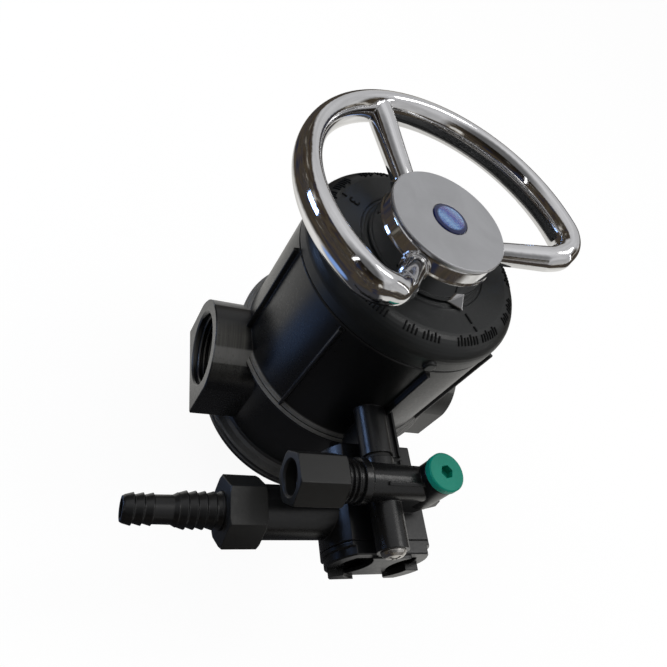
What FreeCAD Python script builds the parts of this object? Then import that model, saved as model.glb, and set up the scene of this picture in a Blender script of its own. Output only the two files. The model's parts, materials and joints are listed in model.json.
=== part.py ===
import FreeCAD, Part
import math
import os

# Manual five-position filter and softener control valve with a chrome handwheel.
# Millimetres. +Z is the valve axis, towards the handwheel. The origin is on that axis at the
# tank seat (underside of the base flange). -X is the left port, -Y the injector side, called
# the front below. Each piece has a function named after its file.

Vector = FreeCAD.Vector
ORIGIN = Vector(0, 0, 0)
X_DIR, Y_DIR, Z_DIR = Vector(1, 0, 0), Vector(0, 1, 0), Vector(0, 0, 1)

# ---- driving dimensions: valve body and cover -----------------------------------------------
FLANGE_R = 52.5            # base flange
BARREL_LOW_R = 46.4        # barrel below the ledge
BARREL_R = 47.0            # barrel above the ledge
LEDGE_Z = 48.6
RIB_R = 49.2               # crest of the vertical ribs
RIB_COUNT = 8
RIB_BOTTOM_Z = 49.6
BODY_TOP_Z = 110.5
NECK_R = 36.4              # tank thread, crest (2.5 in - 8)
NECK_ROOT_R = 34.8
NECK_PITCH = 3.175
NECK_BOTTOM_Z = -28.0
PILOT_R = 34.4             # plain lead-in under the tank thread
PILOT_TOP_Z = -23.4
RISER_R = 13.6             # socket for a 1.05 in riser tube
CENTRE_HOLE_R = 11.5       # above the riser socket
PORT_Z = 33.4
LEFT_PORT_X = 62.85        # distance of the left end face from the axis
RIGHT_PORT_X = 65.0
PORT_FACES = ((-1, -LEFT_PORT_X), (1, RIGHT_PORT_X))   # side, x of the end face
PORT_ROOT_X = 38.0         # inner end of a port block, inside the barrel
PORT_R = 22.6              # rounded top of the port block
PORT_HALF_W = 22.5
PORT_BOTTOM_Z = 12.4
PORT_BORE_R = 16.6         # 1 in parallel thread, major radius
PORT_BORE_L = 19.0
PORT_PASSAGE_R = 12.5
PORT_PASSAGE_END = LEFT_PORT_X - 19.0   # depth from the end face
SEAT_Z = 64.0              # floor of the disc chamber
CHAMBER_R = 41.0
CHAMBER_TOP_Z = 97.0
COVER_BORE_R = 43.2
COVER_PLUG_R = 42.95       # part of the cover inside that bore
COVER_SEAM_Z = 111.0
COVER_R = 47.2
COVER_TOP_Z = 124.4

# ---- driving dimensions: shaft, discs and detent --------------------------------------------
STEM_R = 9.0
STEM_BORE_R = STEM_R + 0.05
STEM_GROOVE_R = 7.2
STEM_HEX = 12.0            # across flats
DISC_R = 40.9
HOLE_RING_R = 24.0         # radius on which the disc ports sit
BODY_HOLE_R = 5.0
DISC_HOLE_R = 5.2
DISC_HOLE_AZ = (0, 180, -90, 60, 120)
PEG_RING_R = 30.0          # three pegs under the shaft flange
PEG_R = 2.6
PEG_AZ = (30, 150, 270)
RACE_R = 26.0              # detent race on the shaft flange
BALL_R = 3.0
BALL_Z = 92.5
POSITIONS = 5

# ---- driving dimensions: injector housing ---------------------------------------------------
HOUSING_X = 0.5
HOUSING_Z = 52.0
HOUSING_R = 21.4
HOUSING_HALF_H = 13.5      # the housing is a cylinder with a flat top and bottom
HOUSING_BACK_Y = -67.5
HOUSING_FRONT_Y = -94.5
MATING_BACK_Y = -56.5      # back of the mating flange on the valve body
NECK_Y = -66.0             # front face of the valve body's mating flange
CAVITY_R = 11.0
UPPER_BOSS = (-5.5, 74.5)  # x, z of the screw bosses
LOWER_BOSS = (5.5, 29.5)
BOSS_X, BOSS_Z = UPPER_BOSS
LOW_BOSS_X, LOW_BOSS_Z = LOWER_BOSS
BOSS_R = 6.1
UPPER_BOSS_END_Y = -101.2
LOWER_BOSS_END_Y = -84.0
LINK_R = 6.0               # passage from the disc chamber into the housing
SMALL_R = 2.2              # small passage beside the upper boss
SMALL_X, SMALL_Z = 1.2, 71.0
TUBE_Y, TUBE_Z = -78.0, 79.9
TUBE_R = 6.5
TUBE_AXIS = (0, TUBE_Y, TUBE_Z)
DRAIN_Y, DRAIN_Z = -80.8, 52.4
DRAIN_R = 10.0
DRAIN_AXIS = (0, DRAIN_Y, DRAIN_Z)
PLUG_X, PLUG_Y = 11.5, -78.0
PLUG_BOSS_R = 7.2
PLUG_AXIS = (PLUG_X, PLUG_Y, 0)
HOUSING_AXIS = (HOUSING_X, 0, HOUSING_Z)


# ---- helpers --------------------------------------------------------------------------------
def cylinder(radius, base, direction, length):
    return Part.makeCylinder(radius, length, Vector(*base), direction)


def upright(radius, x, y, z_bottom, height):
    return cylinder(radius, (x, y, z_bottom), Z_DIR, height)


def forward(radius, x, z, y_back, length):
    """Cylinder that runs from y_back towards -Y."""
    return cylinder(radius, (x, y_back, z), -Y_DIR, length)


def leftward(radius, x_right, y, z, length):
    """Cylinder that runs from x_right towards -X."""
    return cylinder(radius, (x_right, y, z), -X_DIR, length)


def box(x0, x1, y0, y1, z0, z1):
    return Part.makeBox(x1 - x0, y1 - y0, z1 - z0, Vector(x0, y0, z0))


def prism(points, travel):
    return Part.Face(Part.makePolygon(points + [points[0]])).extrude(travel)


REVOLVE_FRAMES = {"x": (Z_DIR, X_DIR), "y": (X_DIR, Y_DIR), "z": (X_DIR, Z_DIR)}


def revolve(profile, origin=(0, 0, 0), axis="z"):
    """Every profile is a list of (radius, distance along the axis)."""
    centre = Vector(*origin)
    radial, axial = REVOLVE_FRAMES[axis]
    points = [centre + radial * radius + axial * along for radius, along in profile]
    solid = Part.Face(Part.makePolygon(points + [points[0]])).revolve(centre, axial, 360)
    if solid.Volume < 0:
        solid.reverse()
    return solid


def ring(inner, outer, start, end, origin=(0, 0, 0), axis="z"):
    return revolve([(inner, start), (outer, start), (outer, end), (inner, end)], origin, axis)


def torus(centre_radius, section_radius, z, x=0, y=0):
    return Part.makeTorus(centre_radius, section_radius, Vector(x, y, z), Z_DIR)


def thread_ridges(root, crest, start, end, pitch):
    """Profile points of a row of V ridges, centred between start and end."""
    points = [(root, start)]
    count = int((end - start) / pitch)
    first = start + ((end - start) - count * pitch) / 2
    for i in range(count):
        base = first + i * pitch
        points += [(root, base + 0.06 * pitch), (crest, base + 0.38 * pitch),
                   (crest, base + 0.62 * pitch), (root, base + 0.94 * pitch)]
    return points + [(root, end)]


def hex_x(corner_r, x0, x1, y, z, phase, chamfer):
    """Hexagonal prism along X; phase is the angle of a corner from +Z towards -Y."""
    angles = [math.radians(phase + 60 * k) for k in range(6)]
    corners = [Vector(x0, y - corner_r * math.sin(angle), z + corner_r * math.cos(angle))
               for angle in angles]
    envelope_r = corner_r + 0.02
    envelope = revolve([(0, x0), (corner_r - chamfer, x0), (envelope_r, x0 + chamfer * 0.6),
                        (envelope_r, x1 - chamfer * 0.6), (corner_r - chamfer, x1), (0, x1)],
                       (0, y, z), "x")
    return prism(corners, X_DIR * (x1 - x0)).common(envelope)


def hex_z(across_flats, z0, z1, x, y, phase):
    corner_r = across_flats / math.sqrt(3)
    corners = [Vector(x, y, 0) + polar(corner_r, phase + 60 * k, z0) for k in range(6)]
    return prism(corners, Z_DIR * (z1 - z0))


def polar(radius, azimuth, z):
    angle = math.radians(azimuth)
    return Vector(radius * math.cos(angle), radius * math.sin(angle), z)


def sector(azimuth, half_angle, z, height):
    """Triangular wedge from the valve axis, used to pick out part of a ring."""
    return prism([Vector(0, 0, z), polar(60, azimuth - half_angle, z),
                  polar(60, azimuth + half_angle, z)], Z_DIR * height)


def fuse_all(shape, additions):
    for addition in additions:
        shape = shape.fuse(addition)
    return shape


def cut_all(shape, cutters):
    for cutter in cutters:
        shape = shape.cut(cutter)
    return shape


def edges_at(shape, axis, value, min_length=0.0):
    """Edges whose vertices all have the given X or Y."""
    return [edge for edge in shape.Edges if edge.Length > min_length
            and all(abs(getattr(vertex, axis) - value) < 1e-3 for vertex in edge.Vertexes)]


def save(name, shape):
    if shape.ShapeType == "Compound" and len(shape.Solids) == 1:
        shape = shape.Solids[0]
    shape.exportStep("parts/%s.step" % name)


# ---- shapes shared by the valve body and the injector pieces --------------------------------
def flat_cylinder(radius, half_height, y_back, y_front):
    """Cylinder along Y on the housing axis with a flat top and bottom."""
    return forward(radius, HOUSING_X, HOUSING_Z, y_back, y_back - y_front).common(
        box(HOUSING_X - radius - 1, HOUSING_X + radius + 1, y_front - 1, y_back + 1,
            HOUSING_Z - half_height, HOUSING_Z + half_height))


def upper_block(y_front, y_back):
    """Block around the small passage, between the housing and the upper boss."""
    return box(BOSS_X - 1.0, 4.6, y_front, y_back, 60.0, 75.6)


def top_strips(y_front, y_back):
    """Two narrow strips along the top of the upper block."""
    return [box(x - 0.5, x + 0.5, y_front, y_back, 75.0, 76.9) for x in (-0.9, 3.6)]


# ---- valve body -----------------------------------------------------------------------------
def body_turning():
    return revolve(
        [(0, NECK_BOTTOM_Z), (PILOT_R - 1.0, NECK_BOTTOM_Z), (PILOT_R, NECK_BOTTOM_Z + 1.0),
         (PILOT_R, PILOT_TOP_Z)]
        + thread_ridges(NECK_ROOT_R, NECK_R, PILOT_TOP_Z + 0.6, -2.2, NECK_PITCH) +
        # base flange
        [(NECK_ROOT_R, 0.0), (FLANGE_R - 0.8, 0.0), (FLANGE_R, 0.8), (FLANGE_R, 3.0),
         (FLANGE_R - 1.3, 3.5), (FLANGE_R - 1.3, 4.2), (FLANGE_R - 0.2, 4.7),
         (FLANGE_R - 0.2, 6.2), (FLANGE_R - 1.0, 7.0), (48.6, 7.4), (47.1, 8.3),
         # barrel and ledge
         (BARREL_LOW_R, 10.0), (BARREL_LOW_R, LEDGE_Z - 1.2), (47.2, LEDGE_Z), (49.9, 49.0),
         (50.2, 49.3), (50.2, 50.5), (49.5, 51.2), (48.95, 51.2), (48.85, 51.3), (48.85, 51.9),
         (48.2, 52.6), (47.7, 52.6), (47.3, 52.75), (BARREL_R, 53.3),
         (BARREL_R, BODY_TOP_Z - 0.5), (BARREL_R - 0.5, BODY_TOP_Z), (0, BODY_TOP_Z)])


def port_block(side, face_x):
    x0, x1 = sorted((side * PORT_ROOT_X, face_x))
    top = cylinder(PORT_R, (x0, 0, PORT_Z), X_DIR, x1 - x0)
    top = top.common(box(x0, x1, -PORT_HALF_W, PORT_HALF_W, PORT_Z - 1, PORT_Z + 30))
    block = top.fuse(box(x0, x1, -PORT_HALF_W, PORT_HALF_W, PORT_BOTTOM_Z, PORT_Z))
    return block.makeChamfer(0.5, edges_at(block, "X", face_x))


def port_cavity(side, face_x):
    """Threaded bore and passage, turned to run inwards from the end face."""
    cavity = revolve([(0, 0), (PORT_BORE_R + 0.7, 0), (PORT_BORE_R, 0.7),
                      (PORT_BORE_R, PORT_BORE_L), (PORT_PASSAGE_R, PORT_BORE_L),
                      (PORT_PASSAGE_R, PORT_PASSAGE_END), (0, PORT_PASSAGE_END)],
                     (0, 0, PORT_Z), "x")
    if side > 0:
        cavity.rotate(Vector(0, 0, PORT_Z), Z_DIR, 180)
    cavity.translate(Vector(face_x, 0, 0))
    return cavity


def barrel_rib(azimuth):
    # radius, half width
    flank = [(BARREL_R - 2.0, 1.1), (BARREL_R - 0.1, 1.0), (RIB_R - 0.35, 0.7), (RIB_R, 0.4)]
    points = [Vector(radius, -half, RIB_BOTTOM_Z) for radius, half in flank]
    points += [Vector(radius, half, RIB_BOTTOM_Z) for radius, half in reversed(flank)]
    rib = prism(points, Z_DIR * (BODY_TOP_Z - 1.2 - RIB_BOTTOM_Z))
    rib.rotate(ORIGIN, Z_DIR, azimuth)
    return rib


def body_cutters():
    cutters = [
        # disc chamber and cover bore
        upright(CHAMBER_R, 0, 0, SEAT_Z, CHAMBER_TOP_Z - SEAT_Z + 0.01),
        upright(COVER_BORE_R, 0, 0, CHAMBER_TOP_Z, 20),
        # riser socket with its seal groove, and the central hole above it
        revolve([(0, -29), (RISER_R + 1.0, -29), (RISER_R + 1.0, -28), (RISER_R, -27),
                 (RISER_R, -21.0), (17.4, -21.0), (17.4, -16.6), (RISER_R, -16.6),
                 (RISER_R, 14.0), (CENTRE_HOLE_R, 14.0), (CENTRE_HOLE_R, 66), (0, 66)]),
        # tank annulus
        ring(20.4, 31.0, -29, 6.0)]
    for azimuth in (60, 120):
        cutters.append(cylinder(BODY_HOLE_R, polar(HOLE_RING_R, azimuth, 5.0), Z_DIR, 61))
    for side, face_x in PORT_FACES:
        cutters.append(port_cavity(side, face_x))
        cutters.append(upright(BODY_HOLE_R, side * HOLE_RING_R, 0, PORT_Z, 33))
    cutters += [upright(BODY_HOLE_R, 0, -HOLE_RING_R, HOUSING_Z, 15),
                forward(LINK_R, 0, HOUSING_Z, 4 - HOLE_RING_R, 60),
                forward(SMALL_R, SMALL_X, SMALL_Z, -38, 40),
                ring(39.4, 44.6, -1, 5.0)]          # tank seal groove
    for (x, z), pilot_end_y in ((UPPER_BOSS, -51.0), (LOWER_BOSS, -37.5)):
        cutters.append(forward(2.55, x, z, pilot_end_y, 66.5 + pilot_end_y))
    return cutters


def valve_body():
    body = fuse_all(body_turning(), [port_block(side, face_x) for side, face_x in PORT_FACES])
    body = fuse_all(body, [barrel_rib(360 / RIB_COUNT * k) for k in range(RIB_COUNT)])

    # neck and mating flange that carry the injector assembly
    flange = flat_cylinder(HOUSING_R - 0.6, HOUSING_HALF_H, MATING_BACK_Y, NECK_Y)
    flange = flange.makeFillet(0.7, edges_at(flange, "Y", MATING_BACK_Y))
    upper_back_y, lower_back_y = -42.5, -44.0
    body = fuse_all(body, [
        box(-6.4, 9.0, NECK_Y, -40.0, 38.6, 66.5),
        flange,
        forward(BOSS_R + 0.2, BOSS_X, BOSS_Z, upper_back_y, upper_back_y - NECK_Y),
        upper_block(NECK_Y, upper_back_y),
        *top_strips(NECK_Y, upper_back_y),
        forward(BOSS_R, LOW_BOSS_X, LOW_BOSS_Z, lower_back_y, lower_back_y - NECK_Y),
        box(LOW_BOSS_X - BOSS_R, LOW_BOSS_X + BOSS_R, NECK_Y, lower_back_y, LOW_BOSS_Z, 45)])
    return cut_all(body, body_cutters()).removeSplitter()


# ---- seals at the tank ----------------------------------------------------------------------
def tank_o_ring():
    return torus(42.0, 2.45, 2.5)


def riser_o_ring():
    return torus(15.5, 1.85, -18.8)


# ---- top cover ------------------------------------------------------------------------------
def top_cover():
    cover = revolve([
        # inner skirt and the plug part with its seal groove
        (STEM_BORE_R, 93.0), (14.8, 93.0), (15.0, 93.3), (15.0, 113.0), (38.5, 113.0),
        (38.5, 98.6), (39.0, 98.2), (42.4, 98.2), (COVER_PLUG_R, 98.8), (COVER_PLUG_R, 99.6),
        (40.35, 99.6), (40.35, 102.8), (COVER_PLUG_R, 102.8), (COVER_PLUG_R, COVER_SEAM_Z),
        # outer wall and rounded shoulder
        (46.7, COVER_SEAM_Z), (COVER_R, 111.5), (COVER_R, 116.0), (47.05, 117.4),
        (46.65, 118.7), (46.0, 119.95), (45.15, 121.1), (44.1, 122.15), (42.9, 123.05),
        (41.6, 123.75), (40.2, 124.2), (38.8, COVER_TOP_Z),
        # shallow groove in the top, then the stem bore
        (28.0, COVER_TOP_Z), (27.6, 124.0), (26.4, 124.0), (26.0, COVER_TOP_Z),
        (STEM_BORE_R + 0.5, COVER_TOP_Z), (STEM_BORE_R, COVER_TOP_Z - 0.5)])
    # pocket for the detent ball and spring
    cover = cover.fuse(upright(6.4, 0, -RACE_R, 91.6, 22.0))
    cover = cover.cut(upright(BALL_R + 0.08, 0, -RACE_R, 91.0, 21.0))
    # small round nub on the front of the wall
    nub_back_y, nub_length = -46.0, 2.4
    nub_end_y = nub_back_y - nub_length
    nub = forward(2.6, -2.6, 114.2, nub_back_y, nub_length)
    nub = nub.makeFillet(0.9, [edge for edge in nub.Edges
                               if abs(edge.CenterOfMass.y - nub_end_y) < 1e-3
                               and len(edge.Vertexes) == 1])
    return cover.fuse(nub).removeSplitter()


def cover_o_ring():
    return torus(41.72, 1.36, 101.2)


# ---- shaft, seals and thrust washer ---------------------------------------------------------
def pegs(radius, z_bottom, height):
    return [cylinder(radius, polar(PEG_RING_R, azimuth, z_bottom), Z_DIR, height)
            for azimuth in PEG_AZ]


def shaft():
    solid = revolve([
        (0, 83.0), (34.5, 83.0), (35.0, 83.5), (35.0, 90.5), (34.5, 91.0), (STEM_R, 91.0),
        (STEM_R, 98.6), (STEM_GROOVE_R, 98.6), (STEM_GROOVE_R, 100.8), (STEM_R, 100.8),
        (STEM_R, 105.6), (STEM_GROOVE_R, 105.6), (STEM_GROOVE_R, 107.8), (STEM_R, 107.8),
        (STEM_R, 125.4), (0, 125.4)])
    solid = solid.fuse(hex_z(STEM_HEX, 125.0, 135.6, 0, 0, 30))
    # ball race with a deeper dimple at each position
    race_section_r = BALL_R + 0.05
    solid = solid.cut(torus(RACE_R, race_section_r, BALL_Z))
    for k in range(POSITIONS):
        dimple = polar(RACE_R, -90 + 360 / POSITIONS * k, 91.6)
        solid = solid.cut(Part.makeSphere(race_section_r, dimple))
    solid = solid.cut(upright(3.05, 0, 0, 117.0, 20))   # hole for the handwheel screw
    return fuse_all(solid, pegs(PEG_R, 76.6, 6.6)).removeSplitter()


def shaft_o_rings():
    return Part.makeCompound([torus(8.1, 0.88, z) for z in (99.7, 106.7)])


def thrust_washer():
    return ring(STEM_R + 0.1, 14.6, 91.02, 92.96)


# ---- disc stack -----------------------------------------------------------------------------
def disc_holes():
    return [cylinder(DISC_HOLE_R, polar(HOLE_RING_R, azimuth, 60), Z_DIR, 20)
            for azimuth in DISC_HOLE_AZ]


def fixed_disc_gasket():
    gasket = cut_all(upright(DISC_R, 0, 0, SEAT_Z, 2.0), disc_holes())
    return gasket.cut(upright(CENTRE_HOLE_R, 0, 0, 60, 20))


def fixed_disc():
    disc = revolve([(0, 66.02), (DISC_R - 0.4, 66.02), (DISC_R, 66.4), (DISC_R, 73.6),
                    (DISC_R - 0.4, 74.0), (0, 74.0)])
    return cut_all(disc, disc_holes()).cut(upright(9.0, 0, 0, 60, 20))


def moving_disc():
    disc = revolve([(0, 74.03), (35.6, 74.03), (36.0, 74.4), (36.0, 80.6), (35.6, 81.0),
                    (0, 81.0)])
    # one through port and one closed channel on the sliding face
    port_inner, port_outer = HOLE_RING_R - DISC_HOLE_R, HOLE_RING_R + DISC_HOLE_R
    disc = disc.cut(ring(port_inner, port_outer, 70, 90).common(sector(180, 18, 70, 20)))
    disc = disc.cut(ring(5.0, port_outer, 73, 77.5).common(sector(0, 18, 70, 20)))
    return cut_all(disc, pegs(PEG_R + 0.1, 76.4, 10))


def moving_disc_seal():
    seal = cut_all(ring(11.0, 33.5, 81.02, 82.98), pegs(PEG_R + 0.15, 76.4, 10))
    return seal.cut(cylinder(DISC_HOLE_R, polar(HOLE_RING_R, 180, 80), Z_DIR, 5))


# ---- detent ---------------------------------------------------------------------------------
def detent_ball():
    return Part.makeSphere(BALL_R, Vector(0, -RACE_R, BALL_Z))


def detent_spring():
    coil_r, wire_r, turns = 2.25, 0.42, 8
    z_bottom, z_top = 96.0, 111.5
    height = z_top - z_bottom
    helix = Part.makeHelix(height / turns, height, coil_r)
    first_edge = helix.Edges[0]
    start = first_edge.valueAt(first_edge.FirstParameter)
    tangent = first_edge.tangentAt(first_edge.FirstParameter)
    circle = Part.Wire(Part.makeCircle(wire_r, start, tangent))
    spring = Part.Wire(helix).makePipeShell([circle], True, True)
    spring.translate(Vector(0, -RACE_R, z_bottom))
    return spring


# ---- handwheel ------------------------------------------------------------------------------
HUB_R = 25.0
HUB_BOTTOM_Z = 124.95
HUB_TOP_Z = 140.6
RIM_R = 59.0
RIM_Z = 144.2
RIM_HALF_W = 4.7           # rim section
RIM_HALF_H = 7.2
RIM_STEPS = 26             # intervals between rim sections
SPOKE_AZ = (-7.5, 112.5, 232.5)
SPOKE_START_R = 23.0
SPOKE_REF_R = 24.65        # radius at which the spoke centreline is at SPOKE_REF_Z
SPOKE_REF_Z = 134.2
SPOKE_ROOT_HALF_W = 4.5
SPOKE_END_HALF_W = 5.2
SPOKE_EXTRA_H = 0.06       # half height less half width of a spoke section
BEND_ANGLE = 13.5          # azimuth taken by the bend from an end spoke into the rim
BEND_R = RIM_R - 12.5      # radius where that bend leaves the spoke
BEND_OVERLAP = 0.3
POINTER_AZ = -67.5


def spoke_point(azimuth, radius):
    rise = RIM_Z + 0.8 - SPOKE_REF_Z
    z = SPOKE_REF_Z + rise * (radius - SPOKE_REF_R) / (RIM_R - SPOKE_REF_R)
    return polar(radius, azimuth, z)


def spoke_half_width(radius):
    share = (radius - SPOKE_START_R) / (BEND_R - SPOKE_START_R)
    return SPOKE_ROOT_HALF_W + (SPOKE_END_HALF_W - SPOKE_ROOT_HALF_W) * share


def section(centre, direction, half_width, half_height):
    """Ellipse normal to direction, its width level; half_height is the larger."""
    normal = Vector(direction)
    normal.normalize()
    side = normal.cross(Z_DIR)
    side.normalize()
    up = side.cross(normal)
    return Part.Wire(Part.Ellipse(centre + up * half_height, centre + side * half_width,
                                  centre).toShape())


def spoke_section(azimuth, radius, half_width, sign):
    """Section facing outwards (sign 1) or inwards (-1); level at the root."""
    if radius < 24:
        direction = polar(1, azimuth, 0) * sign
    else:
        direction = (spoke_point(azimuth, 50.0) - spoke_point(azimuth, 30.0)) * sign
    return section(spoke_point(azimuth, radius), direction, half_width,
                   half_width + SPOKE_EXTRA_H)


def bend_sections(azimuth, side, sign, fractions):
    """Sections on the curve from the rim (fraction 0) to the spoke (1).

    side is the way round from the spoke to the rim, sign the way the sections face."""
    rim_azimuth = azimuth + side * BEND_ANGLE
    rim_point = polar(RIM_R, rim_azimuth, RIM_Z)
    rim_tangent = polar(1, rim_azimuth - side * 90, 0)
    spoke_tangent = spoke_point(azimuth, 30.0) - spoke_point(azimuth, 50.0)
    spoke_tangent.normalize()
    end_point = spoke_point(azimuth, BEND_R)
    curve = Part.BezierCurve()
    curve.setPoles([rim_point, rim_point + rim_tangent * 8.0,
                    end_point - spoke_tangent * 7.0, end_point])
    end_half_h = SPOKE_END_HALF_W + SPOKE_EXTRA_H
    return [section(curve.value(f), Vector(*curve.tangent(f)[0]) * sign,
                    SPOKE_END_HALF_W + (RIM_HALF_W - SPOKE_END_HALF_W) * (1 - f),
                    end_half_h + (RIM_HALF_H - end_half_h) * (1 - f)) for f in fractions]


def rim():
    """Open 240 degree rim: one smooth tube from end spoke to end spoke."""
    first_az, last_az = SPOKE_AZ[0], SPOKE_AZ[2]
    arc_start, arc_end = first_az + BEND_ANGLE, last_az - BEND_ANGLE
    sections = [spoke_section(first_az, radius, SPOKE_END_HALF_W, 1)
                for radius in (BEND_R - BEND_OVERLAP, BEND_R)]
    sections += bend_sections(first_az, 1, -1, (0.8, 0.6, 0.4, 0.2))
    for i in range(RIM_STEPS + 1):
        azimuth = arc_start + (arc_end - arc_start) * i / RIM_STEPS
        sections.append(section(polar(RIM_R, azimuth, RIM_Z), polar(1, azimuth + 90, 0),
                                RIM_HALF_W, RIM_HALF_H))
    sections += bend_sections(last_az, -1, 1, (0.2, 0.4, 0.6, 0.8))
    sections += [spoke_section(last_az, radius, SPOKE_END_HALF_W, -1)
                 for radius in (BEND_R, BEND_R - BEND_OVERLAP)]
    return Part.makeLoft(sections, True, False)


def spoke(azimuth, end_r):
    stations = [(radius, spoke_half_width(radius)) for radius in
                (SPOKE_START_R, 27.0, 35.0, 43.0)] + [(end_r, SPOKE_END_HALF_W)]
    return Part.makeLoft([spoke_section(azimuth, radius, half_width, 1)
                          for radius, half_width in stations], True, False)


def spoke_collar(azimuth):
    inner, outer = spoke_point(azimuth, 22.6), spoke_point(azimuth, 27.6)
    collar = Part.makeCone(5.7, 5.3, (outer - inner).Length, inner, outer - inner)
    return collar.cut(upright(22.6, 0, 0, 120, 40))


def pointer():
    """Four-sided pointer on the hub skirt."""
    left, right = Vector(23.6, 2.6, HUB_BOTTOM_Z), Vector(23.6, -6.6, HUB_BOTTOM_Z)
    tip, top = Vector(29.5, -1.3, HUB_BOTTOM_Z), Vector(23.6, 0.3, 130.3)
    triangles = ([left, tip, right], [left, top, tip], [right, tip, top], [left, right, top])
    solid = Part.makeSolid(Part.makeShell(
        [Part.Face(Part.makePolygon(corners + [corners[0]])) for corners in triangles]))
    if solid.Volume < 0:
        solid.reverse()
    solid.rotate(ORIGIN, Z_DIR, POINTER_AZ)
    return solid


def handwheel():
    wheel = revolve([
        (22.2, HUB_BOTTOM_Z), (24.8, HUB_BOTTOM_Z), (HUB_R, 125.2), (HUB_R, 134.4),
        (24.6, 135.4), (23.9, 139.8), (23.5, HUB_TOP_Z), (21.9, HUB_TOP_Z), (21.9, 134.6),
        (10.5, 134.6), (10.5, 135.6), (0, 135.6), (0, 127.0), (12.0, 127.0), (12.0, 130.6),
        (22.2, 130.6)])
    wheel = wheel.fuse(ring(8.6, 12.0, 125.6, 130.8))
    wheel = fuse_all(wheel, [spoke_collar(azimuth) for azimuth in SPOKE_AZ])
    spoke_ends = (BEND_R - BEND_OVERLAP, RIM_R - 0.5, BEND_R - BEND_OVERLAP)
    wheel = fuse_all(wheel, [spoke(azimuth, end_r)
                             for azimuth, end_r in zip(SPOKE_AZ, spoke_ends)])
    wheel = wheel.fuse(rim()).fuse(pointer())
    # hexagonal socket for the shaft, right through the hub
    wheel = wheel.cut(hex_z(STEM_HEX + 0.12, 120, 135.65, 0, 0, 30))
    return wheel.removeSplitter()


CAP_R = 24.65
CAP_TOP_Z = 142.7


def hub_cap():
    return revolve([(20.2, 136.6), (21.6, 136.6), (21.8, 137.0), (21.8, 140.9), (24.3, 140.9),
                    (CAP_R, 141.2), (CAP_R, 142.3), (CAP_R - 0.4, CAP_TOP_Z),
                    (7.7, CAP_TOP_Z), (7.7, 141.9), (0, 141.9), (0, 140.9), (20.2, 140.9)])


def hub_badge():
    return revolve([(0, 141.92), (7.4, 141.92), (7.4, CAP_TOP_Z), (7.1, 143.05),
                    (5.6, 143.35), (3.2, 143.55), (0.0, 143.62)])


def handwheel_washer():
    return ring(3.2, 9.0, 135.62, 136.7)


def handwheel_screw():
    screw = revolve([(0, 118.0), (2.6, 118.0), (2.98, 118.5), (2.98, 136.72), (5.2, 136.72),
                     (5.2, 138.6), (4.4, 139.6), (0, 139.8)])
    for angle in (0, 90):
        slot = box(-2.6, 2.6, -0.45, 0.45, 138.4, 141)
        slot.rotate(ORIGIN, Z_DIR, angle)
        screw = screw.cut(slot)
    return screw


# ---- injector body --------------------------------------------------------------------------
DRAIN_ROOT_R = 9.3
DRAIN_THREAD_R = 10.4      # 1/2 in parallel thread, crest
BRINE_ROOT_R = 7.2
BRINE_THREAD_R = 8.1       # 3/8 in parallel thread, crest


def drain_spout():
    return revolve([(0, -54.4), (9.0, -54.4)]
                   + thread_ridges(DRAIN_ROOT_R, DRAIN_THREAD_R, -54.0, -48.2, 1.814)
                   + [(DRAIN_ROOT_R, -48.0), (0, -48.0)], DRAIN_AXIS, "x")


def brine_tube():
    """Thread, collar and barrel, from left to right."""
    return revolve([(0, -39.0), (6.8, -39.0)]
                   + thread_ridges(BRINE_ROOT_R, BRINE_THREAD_R, -38.6, -20.4, 1.9)
                   + [(BRINE_ROOT_R, -20.0), (8.5, -19.6), (8.5, -16.9), (8.1, -16.4),
                      (TUBE_R + 0.6, -15.8), (TUBE_R + 0.3, -6.0), (TUBE_R, 8.0),
                      (TUBE_R, 12.0), (0, 12.0)], TUBE_AXIS, "x")


def tube_rib():
    """Thin rib along the tube, tilted from the top towards the front."""
    rib = box(-10.0, 6.0, TUBE_Y - 0.7, TUBE_Y + 0.7, TUBE_Z + 4.0, TUBE_Z + 7.7)
    rib.rotate(Vector(*TUBE_AXIS), X_DIR, 24)
    return rib


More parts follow.
